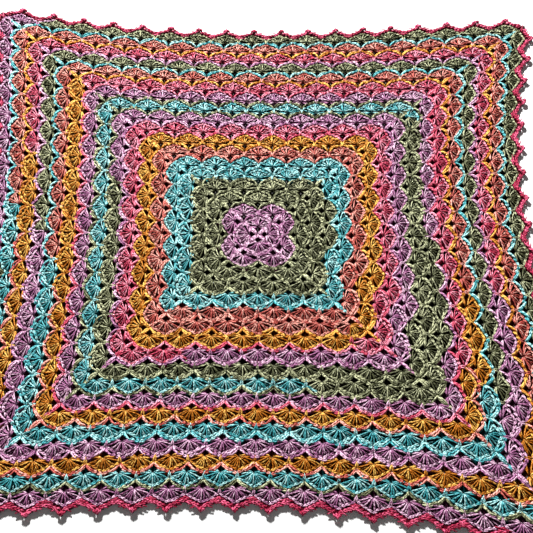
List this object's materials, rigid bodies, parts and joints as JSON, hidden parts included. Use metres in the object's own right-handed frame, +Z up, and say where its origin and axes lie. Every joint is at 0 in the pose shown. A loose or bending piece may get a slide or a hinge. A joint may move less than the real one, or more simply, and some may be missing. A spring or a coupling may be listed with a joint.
{
  "type": "crocheted baby blanket",
  "caption": "Square crocheted baby blanket in shell stitch worked from the middle outwards, with a picot edging, lying flat.",
  "frame": {"origin": "middle of the box round the blanket, on the surface it lies on", "axes": "+Z up through the thickness, +Y towards the far edge, +X towards the right edge"},
  "size_m": [1.0204, 1.0304, 0.0062],
  "materials": {
    "shell_yarn": "matt crochet yarn in six colours that change from round to round: orchid, olive, turquoise, coral, gold and pink",
    "edging_yarn": "matt deep pink crochet yarn"
  },
  "bodies": {
    "root": {"shell_blanket": "shell_yarn", "picot_edging": "edging_yarn"}
  },
  "joints": []
}
